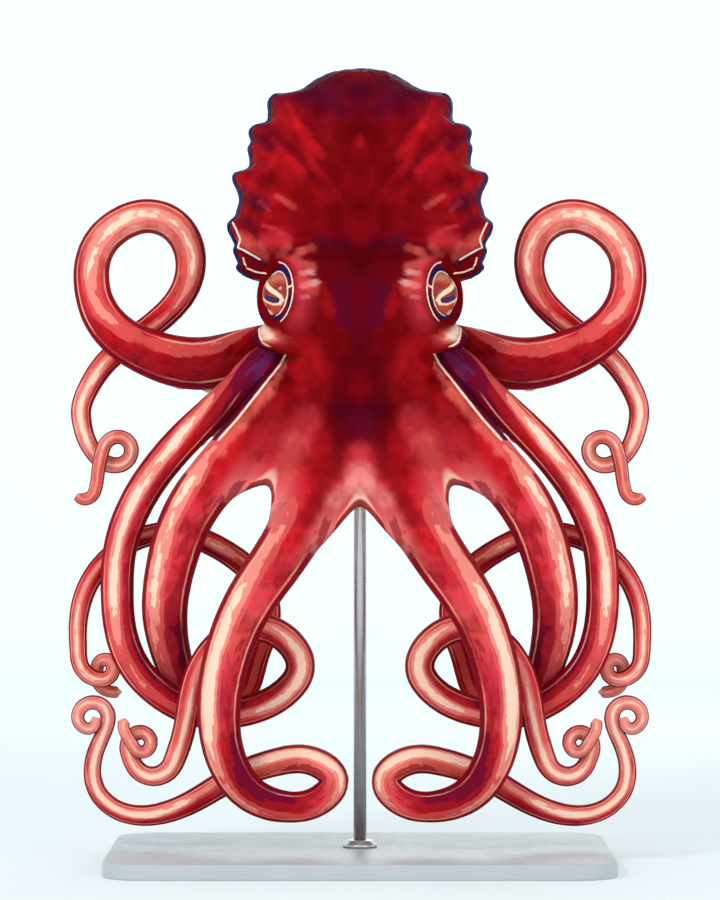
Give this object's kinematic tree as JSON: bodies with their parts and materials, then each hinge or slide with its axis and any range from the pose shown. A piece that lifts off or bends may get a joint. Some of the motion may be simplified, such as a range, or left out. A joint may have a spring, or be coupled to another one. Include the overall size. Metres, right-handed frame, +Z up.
{
  "type": "octopus museum model",
  "caption": "Life-size giant Pacific octopus with arms spread and curled, held upright on a rod and flat base.",
  "frame": {"origin": "centre of the stand base's underside, under the middle of the whole model", "axes": "+Z up through the mantle's tip, +Y from the animal's dorsal side in front to its mouth side behind, +X towards the animal's left"},
  "size_m": [0.8174, 0.46, 1.1125],
  "materials": {
    "octopus_skin": "wet-looking mottled crimson skin, paler on the sucker side",
    "eye": "polished, clear-coated",
    "stand_paint": "satin pale grey paint",
    "stand_steel": "satin"
  },
  "bodies": {
    "root": {"arm_crown": "octopus_skin", "arm_l1_a": "octopus_skin", "arm_l1_b": "octopus_skin", "arm_l1_c": "octopus_skin", "arm_l1_d": "octopus_skin", "arm_l1_e": "octopus_skin", "arm_l2_a": "octopus_skin", "arm_l2_b": "octopus_skin", "arm_l2_c": "octopus_skin", "arm_l2_d": "octopus_skin", "arm_l2_e": "octopus_skin", "arm_l3_a": "octopus_skin", "arm_l3_b": "octopus_skin", "arm_l3_c": "octopus_skin", "arm_l3_d": "octopus_skin", "arm_l3_e": "octopus_skin", "arm_l4_a": "octopus_skin", "arm_l4_b": "octopus_skin", "arm_l4_c": "octopus_skin", "arm_l4_d": "octopus_skin", "arm_l4_e": "octopus_skin", "arm_r1_a": "octopus_skin", "arm_r1_b": "octopus_skin", "arm_r1_c": "octopus_skin", "arm_r1_d": "octopus_skin", "arm_r1_e": "octopus_skin", "arm_r2_a": "octopus_skin", "arm_r2_b": "octopus_skin", "arm_r2_c": "octopus_skin", "arm_r2_d": "octopus_skin", "arm_r2_e": "octopus_skin", "arm_r3_a": "octopus_skin", "arm_r3_b": "octopus_skin", "arm_r3_c": "octopus_skin", "arm_r3_d": "octopus_skin", "arm_r3_e": "octopus_skin", "arm_r4_a": "octopus_skin", "arm_r4_b": "octopus_skin", "arm_r4_c": "octopus_skin", "arm_r4_d": "octopus_skin", "arm_r4_e": "octopus_skin", "cheek_l": "octopus_skin", "cheek_r": "octopus_skin", "eye_l": "eye", "eye_r": "eye", "head": "octopus_skin", "mantle": "octopus_skin", "siphon": "octopus_skin", "stand_base": "stand_paint", "stand_collar": "stand_steel", "stand_rod": "stand_steel"}
  },
  "joints": []
}
